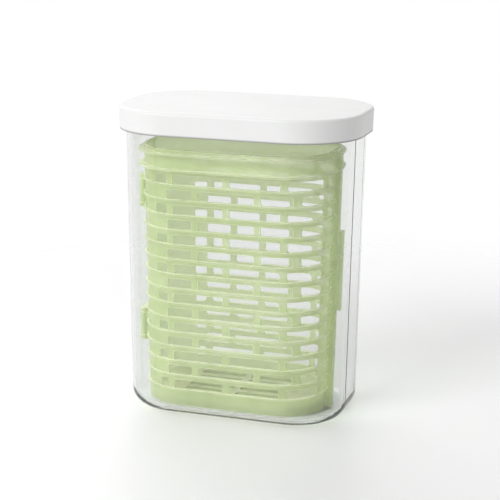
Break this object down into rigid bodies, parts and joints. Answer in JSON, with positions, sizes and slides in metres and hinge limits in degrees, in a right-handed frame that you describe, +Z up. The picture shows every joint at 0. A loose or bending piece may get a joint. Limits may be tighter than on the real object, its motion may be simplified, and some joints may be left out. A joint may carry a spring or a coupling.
{
  "type": "herb keeper",
  "caption": "Clear obround tub with a white press-on lid and a green slotted basket that lifts out and opens on a side hinge to hold cut herbs upright.",
  "frame": {"origin": "middle of the base, on the surface the tub stands on", "axes": "+X along the long side towards the basket's latch tabs, +Y towards the back, +Z up"},
  "size_m": [0.1666, 0.1096, 0.208],
  "materials": {
    "clear_plastic": "clear moulded plastic, polished",
    "white_plastic": "satin moulded white",
    "soft_seal": "soft, matt, pale",
    "green_plastic": "translucent pale green, semi-gloss"
  },
  "bodies": {
    "tub": {"tub": "clear_plastic"},
    "basket_back": {"basket_back": "green_plastic", "hinge_pin_upper": "green_plastic", "hinge_pin_lower": "green_plastic"},
    "basket_front": {"basket_front": "green_plastic"},
    "lid": {"lid_cover": "white_plastic", "lid_plug": "white_plastic", "lid_seal": "soft_seal"}
  },
  "joints": [
    {"name": "basket_lift", "type": "slide", "parent": "tub", "child": "basket_back", "axis": [0, 0, 1], "range_m": [0, 0.205]},
    {"name": "basket_hinge", "type": "hinge", "parent": "basket_back", "child": "basket_front", "pos_m": [-0.0706, -0.01, 0], "axis": [0, 0, -1], "range_deg": [0, 0.4]},
    {"name": "lid_lift", "type": "slide", "parent": "basket_back", "child": "lid", "axis": [0, 0, 1], "range_m": [0, 0.05]}
  ]
}
